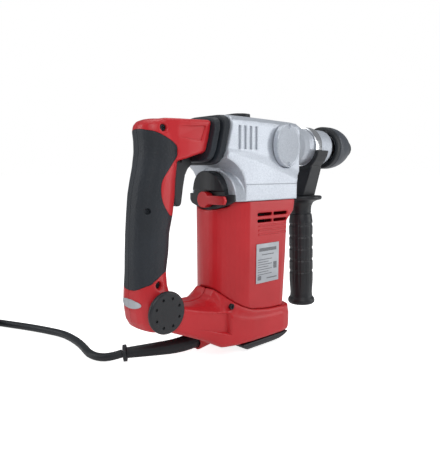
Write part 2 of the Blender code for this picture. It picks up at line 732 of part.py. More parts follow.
def make_pivot():
    cylinder("pivot_pin", 5.0, -CHEEK_OUT, CHEEK_OUT, "steel", "y", PIVOT, SMALL_ROUND)
    face = CHEEK_OUT + GAP
    profile = [(-face, 0.0), (-face, PIVOT_R - 1.5), (-face - 2.5, PIVOT_R), (-face - 4.4, PIVOT_R),
               (-face - 6.0, PIVOT_R - 2.0), (-face - 6.0, 0.0)]
    cap = turned("pivot_cap_right", profile, "black plastic", "y", PIVOT, ROUND)
    for i in range(8):
        turn = 2 * math.pi * (i + 0.5) / 8
        centre = (PIVOT[0] + 15.0 * math.cos(turn), PIVOT[1] + 15.0 * math.sin(turn))
        cut(cap, turned("dimple", [(-face - 4.6, 0.0), (-face - 7.0, 2.6)], "steel", "y", centre, 6))
    flat = [(face, 0.0), (face, 9.0), (face + 1.2, 10.0), (face + 2.2, 9.2), (face + 2.2, 0.0)]
    turned("pivot_cap_left", flat, "black plastic", "y", PIVOT, ROUND)


# ---------------------------------------------------------------- selector, knob, label

def make_selector():
    hood = prism("selector_hood", hood_outline(0.0), "x", -64.0, HOOD_FRONT, "black plastic")
    front = arc((17.5, 0.0), 74.0, 180 - 32, 180 + 32, 16)
    common(hood, prism("curve", [(-30.0, 45.0), *front, (-30.0, -45.0)], "z", 120.0, 260.0, "steel"))
    shelf = [(-45.0, 160.0), (45.0, 160.0), (45.0, 187.5), (-45.0, 187.5)]
    cut(hood, prism("lever room", shelf, "x", -80.0, -50.0, "steel"))
    lever = cylinder("mode_lever", 9.2, -59.5, -50.3, "red plastic", "x", (0.0, SELECTOR_Z), 28)
    bar = [(0.0, SELECTOR_Z - 5.2), (0.0, SELECTOR_Z + 5.2), (-34.0, SELECTOR_Z + 4.6),
           (-36.5, SELECTOR_Z), (-34.0, SELECTOR_Z - 4.6)]
    join(lever, prism("bar", bar, "x", -59.4, -55.5, "steel"))
    set_origin(lever, (-54.0, 0.0, SELECTOR_Z))


def make_top_knob():
    knob = cylinder("top_knob", 12.5, 272.1, 276.2, "black plastic", "z", (-0.5, 0.0), 32)
    pointer = prism("pointer", [(-21.0, -5.0), (-22.0, 0.0), (-21.0, 5.0), (0.0, 8.0), (0.0, -8.0)],
                    "z", 272.1, 274.6, "steel")
    join(knob, pointer)
    set_origin(knob, (-0.5, 0.0, 273.0))


def make_label():
    corners = []
    for z in (80.0, 126.0):
        half = 39.2 + 1.3 * (z - 50.0) / (SEAM_Z - 50.0) + GAP
        corners.append([(-13.0, -half, z), (26.0, -half, z), (26.0, -half - 0.5, z), (-13.0, -half - 0.5, z)])
    loft("rating_label", corners, "label")


# ---------------------------------------------------------------- side handle

def make_side_handle():
    tilt = turn_about((0.0, 0.0, AXIS_Z), AUX_TILT, "X")
    band = ring("aux_band", NECK_R + GAP, NECK_R + 2.3, 116.5, 130.0, "bright steel", "x",
                (0.0, AXIS_Z), 40)
    outer = arc((0.0, AXIS_Z), 33.0, 192, 348, 12)
    inner = arc((0.0, AXIS_Z), NECK_R + 2.6, 348, 192, 12)
    yoke = prism("aux_bracket", outer + inner, "x", 113.5, 136.0, "black plastic")
    block = loft("block", [
        [(x, y, 176.3) for x, y in ((104.5, -13.0), (131.0, -13.0), (131.0, 13.0), (104.5, 13.0))],
        [(x, y, 214.5) for x, y in ((114.5, -20.0), (137.0, -20.0), (137.0, 20.0), (114.5, 20.0))],
    ], "steel")
    join(yoke, block)
    cut(yoke, cylinder("bolt room", 4.5, 150.0, 198.5, "steel", "z", (AUX_X, 0.0), SMALL_ROUND))
    bolt = cylinder("aux_bolt", 4.0, 148.0, 198.0, "steel", "z", (AUX_X, 0.0), SMALL_ROUND)
    profile = [(150.0, 0.0), (150.0, 4.5), (176.0, 4.5), (176.0, 26.6), (174.8, 28.2), (172.0, 28.2),
               (170.6, 26.8), (169.4, 21.0), (167.0, 16.8), (162.0, 14.4), (156.0, 13.8), (151.5, 14.6),
               (142.0, 15.9), (120.0, 16.3), (60.0, 16.2), (43.0, 15.0), (37.5, 15.4), (35.0, 17.6),
               (32.0, 18.4), (29.5, 18.0), (27.5, 16.0), (27.0, 0.0)]
    grip = turned("aux_grip", profile, "black plastic", "z", (AUX_X, 0.0), 24)
    cut(grip, cylinder("bolt seat", 4.3, 147.6, 180.0, "steel", "z", (AUX_X, 0.0), SMALL_ROUND))
    centre = (AUX_X, 0.0, AXIS_Z)
    for piece in (band, yoke, bolt, grip):
        move_mesh(piece, tilt)
    for piece in (band, yoke, bolt):
        set_origin(piece, centre)
    set_origin(grip, tilt @ Vector((AUX_X, 0.0, 160.0)))


# ---------------------------------------------------------------- chuck and hammer mechanism

def make_chuck():
    axis = (0.0, AXIS_Z)
    holder = turned("tool_holder", [(150.3, 5.1), (150.3, 14.5), (209.0, 14.5), (211.0, 11.6),
                                    (221.5, 11.6), (221.5, 5.1)], "steel", "x", axis, 24, hollow=True)
    cut(holder, cylinder("ball room", 3.3, 242.0 - 20.0, 242.0 + 20.0, "steel", "z", (206.0, 0.0), 12))
    ball = [(206.0 + 3.0 * math.cos(math.pi * i / 6), 3.0 * math.sin(math.pi * i / 6)) for i in range(1, 6)]
    ball = [(209.0, 0.0), *ball, (203.0, 0.0)]
    turned("locking_ball", ball, "bright steel", "x", (0.0, AXIS_Z + 9.2), 10)
    points = [(172.5 + 18.0 * i / 30, 17.2 * math.cos(2 * math.pi * i / 10),
               AXIS_Z + 17.2 * math.sin(2 * math.pi * i / 10)) for i in range(31)]
    pipe("chuck_spring", points, 0.9, "steel", 1)
    turned("chuck_ring", [(161.5, 24.8), (161.5, 28.0), (162.7, 29.2), (168.4, 29.4), (169.7, 28.4),
                          (169.7, 24.8)], "black rubber", "x", axis, ROUND, hollow=True)
    turned("chuck_sleeve", [(170.0, 20.0), (170.0, 28.8), (171.6, 29.4), (178.0, 29.3), (186.0, 28.2),
                            (194.0, 26.0), (202.0, 22.6), (208.5, 19.0), (213.0, 16.4), (213.0, 14.9),
                            (202.0, 14.9), (199.0, 20.0)], "grey sleeve", "x", axis, ROUND, hollow=True)
    turned("dust_cap", [(213.8, 12.0), (213.8, 15.6), (217.5, 14.4), (221.8, 12.4), (224.0, 10.6),
                        (224.0, 6.0), (221.9, 6.0), (221.9, 12.0)], "black rubber", "x", axis, 20,
           hollow=True)


def make_spindle():
    axis = (0.0, AXIS_Z)
    ring("spindle_tube", 10.5, 13.0, 26.0, 150.0, "steel", "x", axis, 28)
    ring("spindle_bearing", 13.3, 16.8, 139.0, 149.0, "bright steel", "x", axis, 28)
    piston = turned("piston", [(30.0, 7.6), (30.0, 10.2), (56.0, 10.2), (56.0, 0.0), (48.0, 0.0),
                               (48.0, 7.6)], "steel", "x", axis, 24, hollow=True)
    cut(piston, cylinder("pin room", 2.3, AXIS_Z - 20.0, AXIS_Z + 20.0, "steel", "z", (38.0, 0.0), 12))
    set_origin(piston, (38.0, 0.0, AXIS_Z))
    cylinder("striker", 10.2, 76.0, 98.0, "bright steel", "x", axis, 24)
    turned("impact_bolt", [(114.0, 0.0), (114.0, 8.0), (116.0, 10.0), (132.0, 10.0), (135.0, 4.7),
                           (150.0, 4.7), (150.0, 0.0)], "bright steel", "x", axis, 24)


def gear_outline(teeth, pitch_r, phase):
    """A toothed outline with shallow, backlash-cut teeth; a tooth stands at the phase angle."""
    step = 2 * math.pi / teeth
    tip, root = pitch_r + TIP, pitch_r - ROOT
    tip_half, root_half = 0.1 * step, 0.19 * step
    points = []
    for i in range(teeth):
        at = phase + i * step
        for radius, turn in ((root, -root_half), (tip, -tip_half), (tip, tip_half), (root, root_half)):
            points.append((radius * math.cos(at + turn), radius * math.sin(at + turn)))
    return points


def spur(name, teeth, centre_x, phase, look):
    pitch_r = GEAR_MODULE * teeth / 2
    outline = [(centre_x + a, b) for a, b in gear_outline(teeth, pitch_r, phase)]
    return prism(name, outline, "z", GEAR_LOW, GEAR_HIGH, look)


def bevel_rings(teeth, mate_teeth, phase, back):
    """Rings (across, across, distance from the apex) of a bevel gear; teeth stand off its pitch cone."""
    slope = math.atan2(teeth, mate_teeth)
    step = 2 * math.pi / teeth
    near = CONE_NEAR * math.sin(slope) - 1.2, CONE_NEAR * math.cos(slope) - 1.0
    far = CONE_FAR * math.sin(slope) - 1.2, CONE_FAR * math.cos(slope) + back
    rings = []
    for cone, flat in ((None, near), (CONE_NEAR, None), (CONE_FAR, None), (None, far)):
        points = []
        for i in range(teeth):
            for height, turn in ((-ROOT, -0.19), (TIP, -0.1), (TIP, 0.1), (-ROOT, 0.19)):
                at = phase + (i + turn) * step
                radius, along = flat or (cone * math.sin(slope) + height * math.cos(slope),
                                         cone * math.cos(slope) - height * math.sin(slope))
                points.append((radius * math.cos(at), radius * math.sin(at), along))
        rings.append(points)
    return rings


def make_gears():
    half_step = math.pi / WHEEL_TEETH
    crank = spur("crank_gear", WHEEL_TEETH, -WHEEL_X, half_step, "steel")
    shaft = cylinder("shaft", 4.0, 184.0, 208.0, "steel", "z", (-WHEEL_X, 0.0), SMALL_ROUND)
    pin = cylinder("pin", 3.0, 208.0, AXIS_Z - 4.3, "steel", "z", (-WHEEL_X - CRANK_THROW, 0.0), SMALL_ROUND)
    join(crank, shaft, pin)
    set_origin(crank, (-WHEEL_X, 0.0, GEAR_LOW))
    idler = spur("idler_gear", WHEEL_TEETH, WHEEL_X, math.pi + half_step, "steel")
    shaft = cylinder("shaft", 4.0, 184.0, 224.0, "steel", "z", (WHEEL_X, 0.0), SMALL_ROUND)
    rings = bevel_rings(BEVEL_PINION_TEETH, BEVEL_WHEEL_TEETH, 0.0, 2.5)
    cone = loft("cone", [[(WHEEL_X + a, b, AXIS_Z - c) for a, b, c in ring_] for ring_ in rings], "steel")
    join(idler, shaft, cone)
    set_origin(idler, (WHEEL_X, 0.0, GEAR_LOW))
    half_gap = math.pi / BEVEL_WHEEL_TEETH
    rings = bevel_rings(BEVEL_WHEEL_TEETH, BEVEL_PINION_TEETH, 1.5 * math.pi + half_gap, 5.0)
    wheel = loft("bevel_gear", [[(WHEEL_X + c, a, AXIS_Z + b) for a, b, c in ring_] for ring_ in rings],
                 "steel")
    cut(wheel, cylinder("bore", 13.3, 0.0, 80.0, "steel", "x", (0.0, AXIS_Z), 28))
    rod_end = -WHEEL_X - CRANK_THROW
    low, high = AXIS_Z - 4.0, AXIS_Z + 4.0
    rod = cylinder("con_rod", 6.0, low, high, "steel", "z", (rod_end, 0.0), 20)
    join(rod, box("bar", (rod_end, -3.2, low), (41.5, 3.2, high), "steel"))
    join(rod, cylinder("wrist pin", 2.0, AXIS_Z - 9.4, AXIS_Z + 9.4, "steel", "z", (38.0, 0.0), 12))
    cut(rod, cylinder("big eye", 3.7, low - 5, low + 5.0, "steel", "z", (rod_end, 0.0), SMALL_ROUND))
    set_origin(rod, (38.0, 0.0, AXIS_Z))


def make_motor():
    shaft = cylinder("armature_shaft", 3.6, 18.0, 213.0, "bright steel", "z", (0.0, 0.0), SMALL_ROUND)
    join(shaft, spur("pinion", PINION_TEETH, 0.0, 0.0, "steel"))
    core_r = 23.5
    core = cylinder("rotor_core", core_r, 74.0, 130.0, "steel", "z", (0.0, 0.0), ROUND)
    for i in range(12):
        turn = 2 * math.pi * (i + 0.5) / 12
        slot = box("slot", (core_r - 4.0, -1.0, 60.0), (core_r + 4.0, 1.0, 140.0), "steel")
        slot.data.transform(Matrix.Rotation(turn, 4, "Z"))
        cut(core, slot)
    cut(core, cylinder("bore", 3.9, 60.0, 140.0, "steel", "z", (0.0, 0.0), SMALL_ROUND))
    ring("commutator", 3.9, 13.0, 40.0, 60.0, "copper", "z", (0.0, 0.0), 24)
    profile = [(144.0, 3.9), (144.0, 33.0), (146.5, 33.0), (146.5, 9.0), (158.0, 9.0), (158.0, 3.9)]
    fan = turned("cooling_fan", profile, "black plastic", "z", (0.0, 0.0), ROUND, hollow=True)
    for i in range(9):
        blade = box("blade", (8.0, -0.9, 145.5), (32.0, 0.9, 157.0), "black plastic")
        blade.data.transform(Matrix.Rotation(2 * math.pi * (i + 0.35) / 9, 4, "Z"))
        join(fan, blade)
    ring("field_stator", 24.6, 35.0, 78.0, 126.0, "steel", "z", (0.0, 0.0), ROUND)
    ring("lower_bearing", 3.9, 12.0, 18.5, 27.0, "bright steel", "z", (0.0, 0.0), 24)
    ring("upper_bearing", 3.9, 14.0, 164.5, 172.5, "bright steel", "z", (0.0, 0.0), 24)
    plate = prism("bearing_plate", column_outline(36.5, -48.0, 45.0, 13.0), "z", 164.5, 172.5,
                  "silver casting")
    cut(plate, cylinder("seat", 14.3, 150.0, 180.0, "steel", "z", (0.0, 0.0), 24))
    cut(plate, prism("hood room", hood_outline(GAP), "x", -80.0, HOOD_FRONT + GAP, "steel"))
    holders = ring("brush_holders", 20.0, 31.0, 41.5, 44.5, "brass", "z", (0.0, 0.0), ROUND)
    for side, name in ((-1, "carbon_brush_rear"), (1, "carbon_brush_front")):
        low, high = sorted((side * 15.0, side * 30.0))
        join(holders, box("holder", (low, -6.0, 44.0), (high, 6.0, 56.0), "brass"))
        low, high = sorted((side * 10.0, side * 40.0))
        cut(holders, box("channel", (low, -4.3, 45.7), (high, 4.3, 54.3), "steel"))
        low, high = sorted((side * 13.4, side * 27.0))
        box(name, (low, -4.0, 46.0), (high, 4.0, 54.0), "carbon")


# ---------------------------------------------------------------- screws and cord

def screw(name, x, z, seat):
    """A screw head at the bottom of a hole in the right side, seat millimetres from the middle."""
    made = cylinder(name, 3.3, -seat - 3.0, -seat - GAP, "bright steel", "y", (x, z), SMALL_ROUND)
    for wide, tall in ((2.3, 0.5), (0.5, 2.3)):
        cut(made, box("drive", (x - wide, -seat - 4.0, z - tall), (x + wide, -seat - 1.8, z + tall),
                      "steel"))
    return made


def make_screws():
    pivot = (PIVOT[0], 0.0, PIVOT[1])
    for name, (x, z) in zip(("handle_screw_upper", "handle_screw_lower"), HANDLE_SCREWS, strict=True):
        set_origin(screw(name, x, z, HANDLE_SCREW_SEAT), pivot)
    screw("foot_screw", *FOOT_SCREW, FOOT_SCREW_SEAT)


CORD_ROUTE = (
    (-143.5, 38.5, 9.6), (-151.0, 43.5, 7.2), (-158.5, 51.0, 5.3), (-163.0, 61.0, 4.7),
    (-164.0, 76.0, 4.6), (-160.0, 94.0, 4.6), (-156.6, 113.0, 4.6), (-154.8, 137.0, 4.6),
    (-156.0, 158.0, 4.6), (-162.5, 180.0, 4.6), (-170.0, 200.0, 4.6), (-179.0, 221.0, 4.6),
    (-189.5, 243.0, 4.6), (-200.5, 266.3, 4.6),
)
BOOT_ROUTE = ((-73.0, 0.0, 18.6), (-84.0, 0.8, 17.0), (-97.0, 6.5, 14.8), (-111.0, 15.5, 13.2),
              (-126.0, 26.0, 11.6), (-142.9, 38.1, 9.8))
TAIL_ROUTE = ((-327.0, 236.0, 4.6), (-327.5, 228.0, 4.6), (-327.5, 221.0, 4.6), (-327.5, 213.3, 4.6))


def tapered(name, points, radii, look, sides=12):
    """A round bar along points with a radius at each of them."""
    rings = []
    for i, point in enumerate(points):
        ahead = (points[min(i + 1, len(points) - 1)] - points[max(i - 1, 0)]).normalized()
        across = ahead.cross(Vector((0, 0, 1))).normalized()
        up = across.cross(ahead)
        rings.append([tuple(point + radii[i] * (across * math.cos(2 * math.pi * k / sides)
                                                + up * math.sin(2 * math.pi * k / sides)))
                      for k in range(sides)])
    return loft(name, rings, look)


def make_cord():
    route = smooth_path(BOOT_ROUTE, 8.0)
    back = [Vector(GLAND) + Vector((math.cos(GLAND_PITCH), 0, -math.sin(GLAND_PITCH))) * d for d in (14.0,)]
    points = back + route[:-1] + [route[-1].lerp(route[-2], 0.55), route[-1].lerp(route[-2], 0.5), route[-1]]
    count = len(points)
    radii = [9.5 - 3.2 * i / (count - 4) for i in range(count - 2)] + [9.4, 9.4]
    tapered("cord_boot", points, radii, "black rubber")
    pipe("power_cord", smooth_path(CORD_ROUTE, 10.0), CORD_R, "black rubber", 2)
    low, high = COIL_MID_R - 3 * CORD_R, COIL_MID_R + 3 * CORD_R
    profile = [(0.3, low + 1.5), (0.3, high - 1.5), (2.5, high), (25.0, high), (27.3, high - 1.5),
               (27.3, low + 1.5), (25.0, low), (2.5, low)]
    turned("cord_coil", profile, "black rubber", "z", COIL_CENTRE, 32, hollow=True)
    pipe("cord_tail", smooth_path(TAIL_ROUTE, 8.0), CORD_R, "black rubber", 2)
    make_plug()


def make_plug():
    x, z = -327.5, 19.0
    rings = []
    for y, half_x, low, high in ((213.0, 6.0, 0.3, 12.5), (204.0, 7.0, 0.3, 14.5), (193.0, 9.0, 0.3, 20.0),
                                 (184.0, 15.0, 0.3, 33.0), (176.0, 18.5, 0.3, 37.3), (160.0, 19.0, 0.3, 37.7),
                                 (158.0, 17.5, 1.5, 36.5)):
        points = []
        for i in range(24):
            turn = 2 * math.pi * i / 24
            points.append((x + half_x * math.cos(turn), y, (low + high) / 2
                           + (high - low) / 2 * math.sin(turn)))
        rings.append(points)
    body = loft("power_plug", rings, "black rubber")
    for side in (-1, 1):
        join(body, cylinder("pin", 2.4, 140.0, 163.0, "brass", "y", (x + side * 9.5, z), 12))


def shade_smooth():
    """Smooth shading with sharp creases on every mesh."""
    for piece in bpy.data.objects:
        if piece.type == "MESH":
            piece.data.shade_smooth()
            piece.data.set_sharp_from_angle(angle=math.radians(35.0))


def build():
    clear_scene()
    make_motor_housing()
    make_gearbox()
    make_side_cap()
    make_foot()
    make_base_cap()
    make_handle()
    make_trigger()
    make_bellows()
    make_damping_spring()
    make_pivot()
    make_selector()
    make_top_knob()
    make_label()
    make_side_handle()
    make_chuck()
    make_spindle()
    make_gears()
    make_motor()
    make_screws()
    make_cord()
    shade_smooth()


build()
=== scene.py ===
"""The rotary hammer's fine surfaces, materials, cord, light and camera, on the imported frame."""

import json
import math

import bmesh
import bpy
from mathutils import Matrix
from mathutils import Vector


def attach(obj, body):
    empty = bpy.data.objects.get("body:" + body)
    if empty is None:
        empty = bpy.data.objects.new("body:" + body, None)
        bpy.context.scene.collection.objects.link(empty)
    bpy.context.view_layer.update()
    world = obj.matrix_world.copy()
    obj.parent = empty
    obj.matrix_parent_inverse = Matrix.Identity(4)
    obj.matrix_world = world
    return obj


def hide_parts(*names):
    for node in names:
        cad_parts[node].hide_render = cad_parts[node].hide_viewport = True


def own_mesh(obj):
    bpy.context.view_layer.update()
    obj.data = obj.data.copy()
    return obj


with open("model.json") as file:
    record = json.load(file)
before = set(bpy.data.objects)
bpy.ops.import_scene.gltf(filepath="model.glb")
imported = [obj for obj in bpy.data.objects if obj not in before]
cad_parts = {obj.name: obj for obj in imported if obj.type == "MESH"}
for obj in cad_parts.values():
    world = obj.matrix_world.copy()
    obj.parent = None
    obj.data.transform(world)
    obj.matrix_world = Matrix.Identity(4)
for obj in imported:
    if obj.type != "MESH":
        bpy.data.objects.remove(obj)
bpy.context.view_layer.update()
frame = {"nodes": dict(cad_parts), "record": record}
MM = 0.001

# The cord is in metres.
CORD_R = 0.0045
CORD_LENGTH = 2.5
COIL_SLACK = 0.27             # length of the last part turn and its run to the plug
COIL_END = math.radians(180.0)
COIL_CENTRE = Vector((-0.2685, 0.2717, 0.0))
COIL_MID_R = 0.0495
COIL_LAY_ANGLE = math.radians(24.0)
COIL_STEP = math.radians(6.0)
COIL_CHANGE = 0.86            # share of a turn after which the cord moves over to the next one
CREASE_ANGLE = math.radians(38.0)
CORNER_STEPS = 4              # short edges in one rounded corner of a turned profile

# The rest is in millimetres.
DRILL_AXIS_Z = 242.0
PIVOT = Vector((-133.0, 0.0, 68.0))
AUX_TILT = math.radians(-1.7)
AUX_X = 116.6
FLANK = 60.0                  # beyond the object's widest half
PANEL_HALF = 22.8             # from the middle plane to the floor of the arm's panel
HANDLE_SEAM_HALF = 0.2
RUBBER_GAP = 0.35
CASTING_SEAM_Z = 194.5
CASTING_SEAM_HALF = 0.3
GRIP_FLUTES = 12
GRIP_FLUTE_DEPTH = 0.55


# ---------------------------------------------------------------- camera, light and floor

def make_camera():
    data = bpy.data.cameras.new("camera")
    data.lens = 39.2
    data.sensor_width = 36.0
    data.clip_start = 0.01
    data.clip_end = 50.0
    camera = bpy.data.objects.new("camera", data)
    camera.location = (-0.4209, -0.4163, 0.2095)
    look = Vector((0.6783, 0.7265, -0.1095))
    camera.rotation_euler = look.to_track_quat("-Z", "Y").to_euler()
    bpy.context.collection.objects.link(camera)
    bpy.context.scene.camera = camera


def area_light(name, place, aim, size, power):
    data = bpy.data.lights.new(name, "AREA")
    data.shape = "RECTANGLE"
    data.size, data.size_y = size
    data.energy = power
    light = bpy.data.objects.new(name, data)
    light.location = place
    light.rotation_euler = (Vector(aim) - Vector(place)).to_track_quat("-Z", "Y").to_euler()
    bpy.context.collection.objects.link(light)


def make_world():
    """A white surround for the eye that lights the scene softly and less strongly."""
    world = bpy.data.worlds.new("studio")
    world.use_nodes = True
    tree = world.node_tree
    soft = tree.nodes["Background"]
    soft.inputs["Color"].default_value = (0.92, 0.96, 1.0, 1.0)
    soft.inputs["Strength"].default_value = 0.27
    white = tree.nodes.new("ShaderNodeBackground")
    white.inputs["Strength"].default_value = 1.0
    white.inputs["Color"].default_value = (1.0, 1.0, 1.0, 1.0)
    ray = tree.nodes.new("ShaderNodeLightPath")
    mix = tree.nodes.new("ShaderNodeMixShader")
    tree.links.new(ray.outputs["Is Camera Ray"], mix.inputs["Fac"])
    tree.links.new(soft.outputs["Background"], mix.inputs[1])
    tree.links.new(white.outputs["Background"], mix.inputs[2])
    tree.links.new(mix.outputs["Shader"], tree.nodes["World Output"].inputs["Surface"])
    bpy.context.scene.world = world


def make_studio():
    aim = (0.02, 0.0, 0.14)
    area_light("key", (-0.7, -1.0, 1.1), aim, (0.9, 0.7), 8.5)
    area_light("left rim", (-1.2, 0.9, 0.7), aim, (0.5, 1.2), 6.0)
    area_light("right strip", (0.95, -0.9, 0.55), aim, (0.35, 1.2), 5.0)
    area_light("top", (0.1, 0.2, 1.5), aim, (1.2, 1.2), 8.0)
    make_world()
    bpy.context.scene.view_settings.view_transform = "Standard"
    bpy.ops.mesh.primitive_plane_add(size=40.0, location=(0.0, 0.0, -0.0002))
    floor = bpy.context.object
    floor.name = "studio_floor"
    look = new_material("floor", (0.9, 0.9, 0.9), 0.7)
    shader = look.node_tree.nodes["Principled BSDF"]
    shader.inputs["Emission Color"].default_value = (1.0, 1.0, 1.0, 1.0)
    ray = look.node_tree.nodes.new("ShaderNodeLightPath")
    glow = look.node_tree.nodes.new("ShaderNodeMapRange")
    glow.inputs["To Min"].default_value = 0.16
    glow.inputs["To Max"].default_value = 0.85
    look.node_tree.links.new(ray.outputs["Is Camera Ray"], glow.inputs["Value"])
    look.node_tree.links.new(glow.outputs["Result"], shader.inputs["Emission Strength"])
    shader.inputs["Specular IOR Level"].default_value = 0.1
    floor.data.materials.append(look)


# ---------------------------------------------------------------- materials

def new_material(name, colour, roughness, metallic=0.0):
    look = bpy.data.materials.new(name)
    look.use_nodes = True
    shader = look.node_tree.nodes["Principled BSDF"]
    shader.inputs["Base Color"].default_value = (*colour, 1.0)
    shader.inputs["Roughness"].default_value = roughness
    shader.inputs["Metallic"].default_value = metallic
    return look


class Surface:
    """A Principled material built up from noise, bump and edge layers in object space."""

    def __init__(self, name, colour, roughness, metallic=0.0, edge=0.0005):
        self.look = new_material(name, colour, roughness, metallic)
        self.nodes = self.look.node_tree.nodes
        self.links = self.look.node_tree.links
        self.shader = self.nodes["Principled BSDF"]
        self.place = self.nodes.new("ShaderNodeTexCoord")
        self.normal = None
        if edge:
            bevel = self.nodes.new("ShaderNodeBevel")
            bevel.samples = 4
            bevel.inputs["Radius"].default_value = edge
            self.normal = bevel.outputs["Normal"]
            self.links.new(self.normal, self.shader.inputs["Normal"])

    def noise(self, scale, detail=3.0, stretch=(1.0, 1.0, 1.0)):
        size = self.nodes.new("ShaderNodeMapping")
        size.inputs["Scale"].default_value = stretch
        self.links.new(self.place.outputs["Object"], size.inputs["Vector"])
        made = self.nodes.new("ShaderNodeTexNoise")
        made.inputs["Scale"].default_value = scale
        made.inputs["Detail"].default_value = detail
        self.links.new(size.outputs["Vector"], made.inputs["Vector"])
        return made.outputs["Fac"]

    def cells(self, scale):
        made = self.nodes.new("ShaderNodeTexVoronoi")
        made.inputs["Scale"].default_value = scale
        self.links.new(self.place.outputs["Object"], made.inputs["Vector"])
        return made.outputs["Distance"]

    def tint(self, value, dark, light, low=0.35, high=0.65):
        ramp = self.nodes.new("ShaderNodeValToRGB")
        ramp.color_ramp.elements[0].position = low
        ramp.color_ramp.elements[0].color = (*dark, 1.0)
        ramp.color_ramp.elements[1].position = high
        ramp.color_ramp.elements[1].color = (*light, 1.0)
        self.links.new(value, ramp.inputs["Fac"])
        self.links.new(ramp.outputs["Color"], self.shader.inputs["Base Color"])

    def vary_roughness(self, value, low, high):
        spread = self.nodes.new("ShaderNodeMapRange")
        spread.inputs["To Min"].default_value = low
        spread.inputs["To Max"].default_value = high
        self.links.new(value, spread.inputs["Value"])
        self.links.new(spread.outputs["Result"], self.shader.inputs["Roughness"])

    def bump(self, value, strength, distance):
        bump = self.nodes.new("ShaderNodeBump")
        bump.inputs["Strength"].default_value = strength
        bump.inputs["Distance"].default_value = distance
        self.links.new(value, bump.inputs["Height"])
        if self.normal:
            self.links.new(self.normal, bump.inputs["Normal"])
        self.normal = bump.outputs["Normal"]
        self.links.new(self.normal, self.shader.inputs["Normal"])

    def gloss(self, level):
        self.shader.inputs["Specular IOR Level"].default_value = level


def red_plastic():
    made = Surface("red_plastic", (0.50, 0.014, 0.02), 0.36, edge=0.0007)
    made.tint(made.noise(14.0, 4.0), (0.46, 0.011, 0.016), (0.54, 0.018, 0.025))
    made.vary_roughness(made.noise(55.0), 0.30, 0.42)
    made.bump(made.noise(2400.0, 2.0), 0.12, 0.0002)
    made.gloss(0.42)
    return made.look


def soft_rubber():
    made = Surface("soft_rubber", (0.008, 0.012, 0.018), 0.6, edge=0.0007)
    made.tint(made.noise(18.0, 4.0), (0.006, 0.009, 0.014), (0.011, 0.016, 0.024))
    made.vary_roughness(made.noise(70.0), 0.5, 0.64)
    made.bump(made.cells(420.0), 0.5, 0.0005)
    made.gloss(0.5)
    return made.look


def smooth_rubber():
    made = Surface("smooth_rubber", (0.007, 0.009, 0.012), 0.5, edge=0.0004)
    made.tint(made.noise(24.0, 4.0), (0.005, 0.007, 0.010), (0.010, 0.013, 0.017))
    made.vary_roughness(made.noise(90.0), 0.42, 0.56)
    made.bump(made.noise(1500.0, 2.0), 0.12, 0.0002)
    made.gloss(0.45)
    return made.look


def black_plastic():
    made = Surface("black_plastic", (0.010, 0.012, 0.015), 0.42)
    made.tint(made.noise(20.0, 4.0), (0.008, 0.009, 0.011), (0.014, 0.016, 0.020))
    made.vary_roughness(made.noise(60.0), 0.34, 0.5)
    made.bump(made.noise(1800.0, 2.0), 0.2, 0.0002)
    made.gloss(0.45)
    return made.look


def silver_paint():
    made = Surface("silver_paint", (0.50, 0.535, 0.59), 0.3, 0.35, edge=0.0008)
    made.tint(made.noise(700.0, 2.0), (0.44, 0.475, 0.53), (0.56, 0.595, 0.65), 0.3, 0.7)
    made.vary_roughness(made.noise(40.0), 0.28, 0.4)
    made.bump(made.noise(420.0, 3.0), 0.16, 0.0003)
    return made.look


def machined(name, colour, roughness):
    made = Surface(name, colour, roughness, 1.0)
    grain = made.noise(300.0, 5.0, (0.15, 1.0, 1.0))
    made.vary_roughness(grain, roughness * 0.75, roughness * 1.3)
    made.bump(grain, 0.06, 0.0002)
    return made.look


def sleeve_plastic():
    made = Surface("sleeve_plastic", (0.045, 0.052, 0.066), 0.36)
    made.tint(made.noise(30.0, 4.0), (0.036, 0.042, 0.054), (0.056, 0.064, 0.078))
    made.vary_roughness(made.noise(90.0), 0.3, 0.42)
    made.bump(made.noise(1500.0, 2.0), 0.12, 0.0002)
    return made.look


def label_foil():
    made = Surface("label_foil", (0.42, 0.44, 0.47), 0.34, 0.35, edge=0.0)
    made.tint(made.noise(60.0), (0.38, 0.40, 0.43), (0.46, 0.48, 0.51))
    made.vary_roughness(made.noise(120.0), 0.28, 0.42)
    made.bump(made.noise(200.0), 0.04, 0.0002)
    return made.look


def label_ink():
    made = Surface("label_ink", (0.16, 0.165, 0.18), 0.5, edge=0.0)
    made.tint(made.noise(900.0), (0.12, 0.125, 0.14), (0.20, 0.205, 0.22))
    return made.look


def carbon():
    made = Surface("carbon", (0.03, 0.03, 0.03), 0.6)
    made.bump(made.noise(1200.0), 0.3, 0.0002)
    return made.look


LOOKS = {
    "red_plastic": red_plastic(),
    "black_rubber": soft_rubber(),
    "black_plastic": black_plastic(),
    "silver_casting": silver_paint(),
    "bright_steel": machined("bright_steel", (0.78, 0.79, 0.81), 0.14),
    "steel": machined("steel", (0.46, 0.47, 0.49), 0.32),
    "grey_sleeve": sleeve_plastic(),
    "copper": machined("copper", (0.62, 0.29, 0.15), 0.3),
    "brass": machined("brass", (0.64, 0.48, 0.22), 0.28),
    "carbon": carbon(),
    "label": label_foil(),
}
SMOOTH_RUBBER = smooth_rubber()
LABEL_INK = label_ink()
DARK_STEEL = machined("dark_steel", (0.035, 0.036, 0.04), 0.36)
SLOT_OF = {entry["node"]: entry["material_slot"] for entry in frame["record"]["subparts"]}
BODY_OF = {node: body for body, nodes in frame["record"]["behaviour"]["bodies"].items() for node in nodes}


# ---------------------------------------------------------------- pieces

def settle(piece, *nodes, look=None):
    """Gives a piece its look, its body and the CAD nodes that it stands for."""
    slot = SLOT_OF[nodes[0]]
    piece.data.materials.clear()
    piece.data.materials.append(look or LOOKS[slot])
    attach(piece, BODY_OF[nodes[0]])
    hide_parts(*nodes)
    return piece


